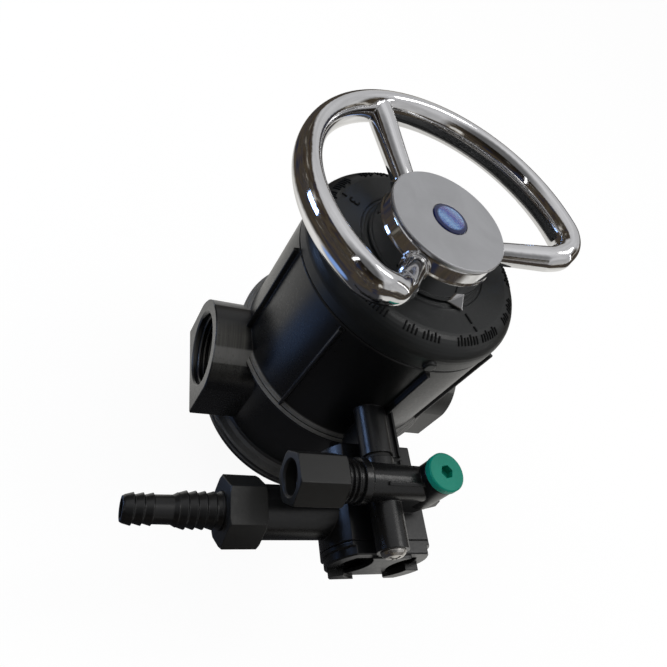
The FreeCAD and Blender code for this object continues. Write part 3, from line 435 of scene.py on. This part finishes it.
def port_thread(name, mouth_x, inward):
    """Helical ridge inside a bore along X, faded at both ends."""
    turns = THREAD_LENGTH / THREAD_PITCH
    steps = int(turns * STEPS_PER_TURN)
    verts = []
    for i in range(steps + 1):
        along = i / steps
        angle = 2 * math.pi * turns * along
        fade = min(1.0, along * turns / FADE_TURNS, (1 - along) * turns / FADE_TURNS)
        crest = ROOT_RADIUS + (CREST_RADIUS - ROOT_RADIUS) * max(LEAST_HEIGHT, fade)
        x = mouth_x + inward * THREAD_LENGTH * along
        for offset, radius in ((-ROOT_HALF_WIDTH, ROOT_RADIUS), (-CREST_HALF_WIDTH, crest),
                               (CREST_HALF_WIDTH, crest), (ROOT_HALF_WIDTH, ROOT_RADIUS)):
            verts.append(((x + offset) * MM, radius * math.cos(angle) * MM,
                          (PORT_Z + radius * math.sin(angle)) * MM))
    add_mesh(name, verts, bar_faces(0, steps), materials["black_body"],
             smooth=True)


port_thread("left_port_thread", mouth_x=-61.4, inward=1)
port_thread("right_port_thread", mouth_x=63.5, inward=-1)

# cover marks: five groups of raised ticks, each with a numeral
COVER_TOP = 124.4
# outer surface of the cover: radius, height
COVER_PROFILE = [(28.0, COVER_TOP), (38.8, COVER_TOP), (40.2, 124.2), (41.6, 123.75),
                 (42.9, 123.05), (44.1, 122.15), (45.15, 121.1)]
GROUPS = 5
FIRST_AZIMUTH = -67.5
GROUP_ANGLE = 360 / GROUPS
TICK_ANGLE = 2.15
TICK_WIDTH = 0.75
TICK_OUTER = 43.3
POINTER_WIDTH = 0.9
POINTER_SPAN = (36.7, 38.9)  # inner and outer radius
MARK_HEIGHT = 0.34
MARK_SINK = 0.15
MARK_STEPS = 5
MARK_TOP_SHARE = 0.75  # width of a mark's top against its base
NUMERAL_RADIUS = 33.4
NUMERAL_SIZE = 6.6
NUMERAL_EXTRUDE = 0.24
NUMERAL_LIFT = 0.10

mark_material = moulded_plastic(
    "moulded_black_mark", base=(0.0035, 0.0040, 0.0042), rough=(0.62, 0.78),
    grain=1200.0, edge_wear_and_highlight=0.010, specular=0.20)


def polar(radius, azimuth):
    angle = math.radians(azimuth)
    return Vector((radius * math.cos(angle), radius * math.sin(angle), 0))


def cover_height(radius):
    """Height of the cover's surface; all marks end inside the profile."""
    for (r0, z0), (r1, z1) in zip(COVER_PROFILE, COVER_PROFILE[1:]):
        if radius <= r1:
            return z0 + (z1 - z0) * (radius - r0) / (r1 - r0)


def add_mark(verts, faces, azimuth, inner, outer, width):
    """Raised bar along a radius, following the cover's surface."""
    angle = math.radians(azimuth)
    side = Vector((-math.sin(angle), math.cos(angle), 0)) * (width / 2)
    first = len(verts)
    for i in range(MARK_STEPS + 1):
        radius = inner + (outer - inner) * i / MARK_STEPS
        for share, lift in ((-1, -MARK_SINK), (1, -MARK_SINK),
                            (MARK_TOP_SHARE, MARK_HEIGHT), (-MARK_TOP_SHARE, MARK_HEIGHT)):
            corner = polar(radius, azimuth) + side * share
            height = cover_height(radius) + lift
            verts.append((corner.x * MM, corner.y * MM, height * MM))
    faces += bar_faces(first, MARK_STEPS)


def mark_group(number, azimuth):
    """A pointer, ticks on both sides of it, and a second run of ticks further round."""
    # tick number from the pointer, inner radius
    ticks = [(j, 39.6 if j % 3 == 0 else 40.5) for j in range(-7, 8) if j != 0]
    ticks += [(j, 41.0 if j % 2 else 40.1) for j in range(12, 22) if j != 16]
    verts, faces = [], []
    add_mark(verts, faces, azimuth, *POINTER_SPAN, POINTER_WIDTH)
    for j, inner in ticks:
        add_mark(verts, faces, azimuth + j * TICK_ANGLE, inner, TICK_OUTER, TICK_WIDTH)
    add_mesh("cover_mark_%d" % number, verts, faces, mark_material,
             smooth=False)


def numeral(number, azimuth):
    """Raised numeral that reads from outside the rim."""
    curve = bpy.data.curves.new("numeral_curve_%d" % number, "FONT")
    curve.body = str(number)
    curve.size = NUMERAL_SIZE * MM
    curve.align_x = "CENTER"
    curve.align_y = "CENTER"
    curve.extrude = NUMERAL_EXTRUDE * MM
    curve.resolution_u = 6
    text = bpy.data.objects.new("numeral_tmp", curve)
    scene.collection.objects.link(text)
    bpy.context.view_layer.update()
    depsgraph = bpy.context.evaluated_depsgraph_get()
    mesh = bpy.data.meshes.new_from_object(text.evaluated_get(depsgraph))
    mesh.name = "cover_numeral_%d" % number
    bpy.data.objects.remove(text)
    bm = bmesh.new()
    bm.from_mesh(mesh)
    bmesh.ops.remove_doubles(bm, verts=bm.verts, dist=1e-6)
    bmesh.ops.recalc_face_normals(bm, faces=bm.faces)
    place = polar(NUMERAL_RADIUS, azimuth) + Vector((0, 0, COVER_TOP + NUMERAL_LIFT))
    turn = Matrix.Rotation(math.radians(azimuth + 90), 4, "Z")
    bm.transform(Matrix.Translation(place * MM) @ turn)
    bm.to_mesh(mesh)
    bm.free()
    mesh.materials.clear()
    add_object(mesh.name, mesh, mark_material)


for k in range(GROUPS):
    group_azimuth = FIRST_AZIMUTH - GROUP_ANGLE * k
    mark_group(k + 1, group_azimuth)
    numeral(k + 1, group_azimuth)

# ---------------------------------------------------------------------------------
# floor
# ---------------------------------------------------------------------------------
FLOOR_GAP = 0.0005
FLOOR_HALF = 4.0
bpy.context.view_layer.update()
floor_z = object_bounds()[0].z - FLOOR_GAP


def floor_reflection(m):
    """What glossy surfaces see: bright paper with dark and blue areas."""
    place = m.split(m.coord)
    near = m.multiply(m.remap(place[1], between=(-0.035, 0.025), to=(1.0, 0.0)),
                      m.remap(place[0], between=(0.02, 0.07), to=(1.0, 0.0)))

    def distance(x, y):
        return m.vector("DISTANCE", m.coord, (x, y, floor_z)).outputs["Value"]

    away = m.remap(distance(0.12, -0.02), between=(0.30, 0.36))
    spot = m.remap(distance(-0.158, -0.030), between=(0.028, 0.050), to=(1.0, 0.0))
    paper_mottle = m.remap(m.noise(scale=5.0, detail=2.0), between=(0.4, 0.6))
    near_dark = (0.045, 0.045, 0.050)
    spot_blue = (0.24, 0.40, 0.80)
    room_stops = [(0.35, (0.020, 0.024, 0.045)), (0.5, (0.070, 0.055, 0.038)),
                  (0.62, (0.040, 0.036, 0.030)), (0.72, (0.30, 0.28, 0.24))]
    color = m.mix(paper_mottle, (0.66, 0.65, 0.62), (0.86, 0.85, 0.82))
    color = m.mix(near, color, near_dark)
    color = m.mix(spot, color, spot_blue)
    color = m.mix(away, color, m.ramp(m.noise(scale=4.5, detail=3.0), room_stops))
    return m.node("ShaderNodeEmission", {"Color": color}).outputs[0]


def floor_paper():
    m = Surface("floor_paper")
    color = m.mix(m.remap(m.noise(scale=3.0, detail=3.0), between=(0.3, 0.7)),
                  (0.90, 0.90, 0.895), (0.93, 0.93, 0.93))
    normal = m.bump(m.noise(scale=600.0), strength=0.03, distance=0.1e-3)
    m.finish(color, 0.85, normal, {"Specular IOR Level": 0.2})
    paper = m.shader.outputs[0]
    rays = m.node("ShaderNodeLightPath").outputs
    # the camera sees a white sweep, the shadow only a hint
    glow = m.node("ShaderNodeEmission", {"Color": (1, 1, 1), "Strength": 1.06}).outputs[0]
    glow_share = 0.88
    seen = m.mix_shader(glow_share, paper, glow)
    by_gloss = m.mix_shader(rays["Is Glossy Ray"], paper, floor_reflection(m))
    by_camera = m.mix_shader(rays["Is Camera Ray"], by_gloss, seen)
    m.feed(m.output.inputs["Surface"], by_camera)
    return m.material


floor_material = floor_paper()
floor_mesh = bpy.data.meshes.new("floor")
floor_corners = [(x * FLOOR_HALF, y * FLOOR_HALF, floor_z)
                 for x, y in ((-1, -1), (1, -1), (1, 1), (-1, 1))]
floor_mesh.from_pydata(floor_corners, [], [(0, 1, 2, 3)])
floor = bpy.data.objects.new("floor", floor_mesh)
floor_mesh.materials.append(floor_material)
scene.collection.objects.link(floor)

# ---------------------------------------------------------------------------------
# world
# ---------------------------------------------------------------------------------
# position from straight down (0) to straight up (1), colour
SKY_STOPS = [(0.0, (0.6, 0.6, 0.6)), (0.495, (0.5, 0.5, 0.5)), (0.51, (1.0, 1.0, 1.0)),
             (0.515, (0.56, 0.56, 0.565)), (0.685, (0.56, 0.56, 0.565)),
             (0.86, (0.60, 0.60, 0.61)), (1.0, (0.70, 0.70, 0.71))]
# walls of the room: brown and slate with a few pale patches
WALL_STOPS = [(0.30, (0.020, 0.028, 0.060)), (0.42, (0.040, 0.030, 0.024)),
              (0.50, (0.070, 0.055, 0.036)), (0.57, (0.045, 0.040, 0.034)),
              (0.64, (0.30, 0.27, 0.23)), (0.72, (0.75, 0.74, 0.70))]


def build_world():
    """A white backdrop for the camera, a mottled room for every other ray."""
    world = bpy.data.worlds.new("studio")
    scene.world = world
    g = Graph(world)
    generated = g.node("ShaderNodeTexCoord").outputs["Generated"]
    g.coord = g.vector("NORMALIZE", generated).outputs[0]
    height = g.split(g.coord)[2]
    sky = g.ramp(g.remap(height, between=(-1, 1)), SKY_STOPS)
    mottle = g.noise(scale=3.4, detail=3.0, rough=0.5)
    wall = g.ramp(mottle, WALL_STOPS)

    def toward(ray, direction, full, none, **options):
        """1 within full degrees of the direction, 0 beyond none degrees."""
        cosine = g.vector("DOT_PRODUCT", ray, direction).outputs["Value"]
        span = (math.cos(math.radians(none)), math.cos(math.radians(full)))
        return g.remap(cosine, between=span, **options)

    def dim(color, factor):
        inputs = {0: color, "Scale": factor}
        return g.node("ShaderNodeVectorMath", inputs, operation="SCALE").outputs[0]

    # the walls stand below a line, with openings towards +X +Y and +X -Y
    low = g.remap(height, between=(0.56, 0.62), to=(1.0, 0.0))
    flat = g.vector("MULTIPLY", g.coord, (1, 1, 0)).outputs[0]
    heading = g.vector("NORMALIZE", flat).outputs[0]
    back_opening = g.multiply(toward(heading, (0.66, 0.75, 0.0), full=40, none=50),
                              g.remap(height, between=(0.16, 0.24)))
    front_direction = Vector((0.70, -0.72, 0.0)).normalized()
    front_opening = g.multiply(
        toward(heading, front_direction, full=26, none=36, to=(0.0, 0.85)),
        g.remap(height, between=(0.03, 0.08)))
    openings = g.math("MAXIMUM", back_opening, front_opening)
    walls = g.multiply(low, g.remap(openings, between=(0.0, 1.0), to=(1.0, 0.0)))
    sky = dim(sky, g.remap(mottle, between=(0.38, 0.62), to=(0.90, 1.08)))
    room = g.mix(walls, sky, wall)
    # the dark side of the room, behind the camera
    behind = toward(g.coord, Vector((-0.42, -0.56, 0.71)).normalized(), full=18, none=46,
                    interpolation_type="SMOOTHSTEP")
    room = dim(room, g.remap(behind, between=(0, 1), to=(1.0, 0.22)))

    def background(color):
        inputs = {"Color": color, "Strength": 1.0}
        return g.node("ShaderNodeBackground", inputs).outputs[0]

    camera_ray = g.node("ShaderNodeLightPath").outputs["Is Camera Ray"]
    shader = g.mix_shader(camera_ray, background(room), background((1, 1, 1)))
    g.node("ShaderNodeOutputWorld", {"Surface": shader})


build_world()


# ---------------------------------------------------------------------------------
# lights and camera
# ---------------------------------------------------------------------------------
def aim(location, target):
    return (Vector(target) - Vector(location)).to_track_quat("-Z", "Y")


def area(name, location, size, energy, color=(1, 1, 1), target=(0.0, -0.02, 0.06)):
    """Rectangular light, hidden from the camera; size is width and height."""
    light = bpy.data.lights.new(name, "AREA")
    light.shape = "RECTANGLE"
    light.size, light.size_y = size
    light.energy = energy
    light.color = color
    lamp = bpy.data.objects.new(name, light)
    scene.collection.objects.link(lamp)
    lamp.location = location
    lamp.rotation_mode = "QUATERNION"
    lamp.rotation_quaternion = aim(location, target)
    lamp.visible_camera = False
    return lamp


WARM = (1.0, 0.99, 0.97)
key = area("key_soft", (-0.75, 0.55, 0.95), size=(0.70, 0.70), energy=2.2, color=WARM)
key.visible_glossy = False
area("top_soft", (0.50, 0.04, 1.05), size=(0.22, 0.46), energy=1.5, color=WARM)
area("left_strip", (-1.05, -0.45, 0.62), size=(0.05, 0.6), energy=0.22)
area("right_strip", (0.95, -0.25, 0.50), size=(0.05, 0.6), energy=0.35)
area("blue_window", (-0.76, 0.25, 0.03), size=(0.20, 0.26), energy=1.4,
     color=(0.34, 0.54, 1.0), target=(0, -0.06, 0.06))

CAMERA_PLACE = (-0.1284, -0.1503, 0.2623)
CAMERA_RIGHT = (0.893, -0.121, 0.434)
CAMERA_UP = (-0.157, 0.819, 0.551)  # squared to the right axis below

camera_data = bpy.data.cameras.new("view_camera")
camera = bpy.data.objects.new("view_camera", camera_data)
scene.collection.objects.link(camera)
camera_data.sensor_width = 36.0
camera_data.lens = 32.44587706
camera_data.shift_x = 0.004437781
camera_data.shift_y = -0.022323838
camera_data.clip_start = 0.01
camera_data.clip_end = 20.0
right = Vector(CAMERA_RIGHT).normalized()
up = Vector(CAMERA_UP)
up = (up - right * up.dot(right)).normalized()
axes = Matrix((right, up, right.cross(up))).transposed()
camera.matrix_world = Matrix.Translation(CAMERA_PLACE) @ axes.to_4x4()
scene.camera = camera
scene.view_settings.view_transform = "Standard"
scene.view_settings.look = "None"
